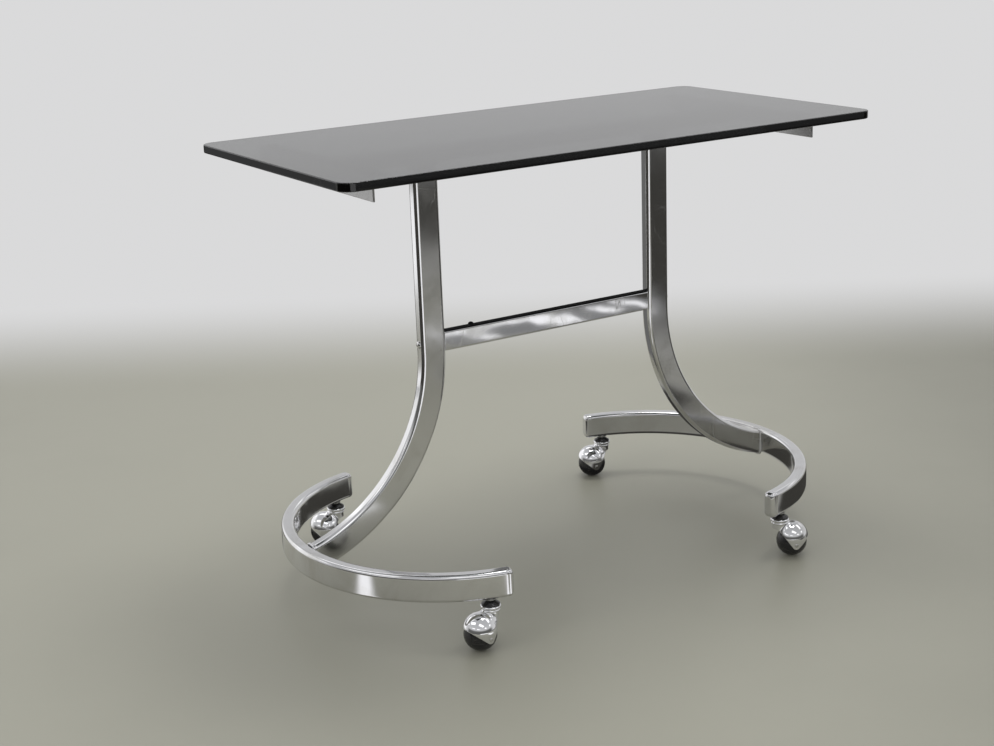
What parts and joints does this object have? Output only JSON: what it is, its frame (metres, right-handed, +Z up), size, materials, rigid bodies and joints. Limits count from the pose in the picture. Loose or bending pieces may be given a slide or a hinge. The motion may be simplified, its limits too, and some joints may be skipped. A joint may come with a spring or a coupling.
{
  "type": "rolling side table",
  "caption": "Rolling side table with a smoked glass top on a chromed tube frame, whose legs sweep out into C-shaped base tubes on swivelling ball casters.",
  "frame": {"origin": "on the floor under the middle of the table", "axes": "+X along the length of the glass, -Y towards the front, +Z up"},
  "size_m": [0.89, 0.5322, 0.667],
  "materials": {
    "chrome": "polished",
    "zinc_steel": "zinc plated",
    "smoked_glass": "smoked, polished edge",
    "pad_rubber": "matt",
    "black_plastic": "satin"
  },
  "bodies": {
    "frame": {"back_left_dust_cap": "black_plastic", "back_left_end_cap": "chrome", "back_left_glass_pad": "pad_rubber", "back_left_socket": "zinc_steel", "back_left_stem": "zinc_steel", "back_right_dust_cap": "black_plastic", "back_right_end_cap": "chrome", "back_right_glass_pad": "pad_rubber", "back_right_socket": "zinc_steel", "back_right_stem": "zinc_steel", "crossbar": "chrome", "front_left_dust_cap": "black_plastic", "front_left_end_cap": "chrome", "front_left_glass_pad": "pad_rubber", "front_left_socket": "zinc_steel", "front_left_stem": "zinc_steel", "front_right_dust_cap": "black_plastic", "front_right_end_cap": "chrome", "front_right_glass_pad": "pad_rubber", "front_right_socket": "zinc_steel", "front_right_stem": "zinc_steel", "glass_top": "smoked_glass", "left_base_tube": "chrome", "left_cross_support": "chrome", "left_crossbar_bolt": "chrome", "left_crossbar_plug": "zinc_steel", "left_leg": "chrome", "right_base_tube": "chrome", "right_cross_support": "chrome", "right_crossbar_bolt": "chrome", "right_crossbar_plug": "zinc_steel", "right_leg": "chrome", "top_rail": "chrome"},
    "front_left_swivel": {"front_left_hood": "chrome", "front_left_bearing": "zinc_steel", "front_left_axle": "zinc_steel"},
    "front_left_wheel": {"front_left_ball_wheel": "black_plastic"},
    "front_right_swivel": {"front_right_hood": "chrome", "front_right_bearing": "zinc_steel", "front_right_axle": "zinc_steel"},
    "front_right_wheel": {"front_right_ball_wheel": "black_plastic"},
    "back_left_swivel": {"back_left_hood": "chrome", "back_left_bearing": "zinc_steel", "back_left_axle": "zinc_steel"},
    "back_left_wheel": {"back_left_ball_wheel": "black_plastic"},
    "back_right_swivel": {"back_right_hood": "chrome", "back_right_bearing": "zinc_steel", "back_right_axle": "zinc_steel"},
    "back_right_wheel": {"back_right_ball_wheel": "black_plastic"}
  },
  "joints": [
    {"name": "front_left_swivel_turn", "type": "hinge", "parent": "frame", "child": "front_left_swivel", "pos_m": [-0.26289, -0.2326, 0.055], "axis": [0, 0, 1], "continuous": true},
    {"name": "front_left_wheel_roll", "type": "hinge", "parent": "front_left_swivel", "child": "front_left_wheel", "pos_m": [-0.28215, -0.23394, 0.02315], "axis": [-0.0698, 0.9976, 0], "continuous": true},
    {"name": "front_right_swivel_turn", "type": "hinge", "parent": "frame", "child": "front_right_swivel", "pos_m": [0.26289, -0.2326, 0.055], "axis": [0, 0, 1], "continuous": true},
    {"name": "front_right_wheel_roll", "type": "hinge", "parent": "front_right_swivel", "child": "front_right_wheel", "pos_m": [0.28053, -0.24045, 0.02315], "axis": [-0.4067, -0.9135, 0], "continuous": true},
    {"name": "back_left_swivel_turn", "type": "hinge", "parent": "frame", "child": "back_left_swivel", "pos_m": [-0.26289, 0.2326, 0.055], "axis": [0, 0, 1], "continuous": true},
    {"name": "back_left_wheel_roll", "type": "hinge", "parent": "back_left_swivel", "child": "back_left_wheel", "pos_m": [-0.28053, 0.24045, 0.02315], "axis": [0.4067, 0.9135, 0], "continuous": true},
    {"name": "back_right_swivel_turn", "type": "hinge", "parent": "frame", "child": "back_right_swivel", "pos_m": [0.26289, 0.2326, 0.055], "axis": [0, 0, 1], "continuous": true},
    {"name": "back_right_wheel_roll", "type": "hinge", "parent": "back_right_swivel", "child": "back_right_wheel", "pos_m": [0.24434, 0.23792, 0.02315], "axis": [0.2756, 0.9613, 0], "continuous": true}
  ]
}
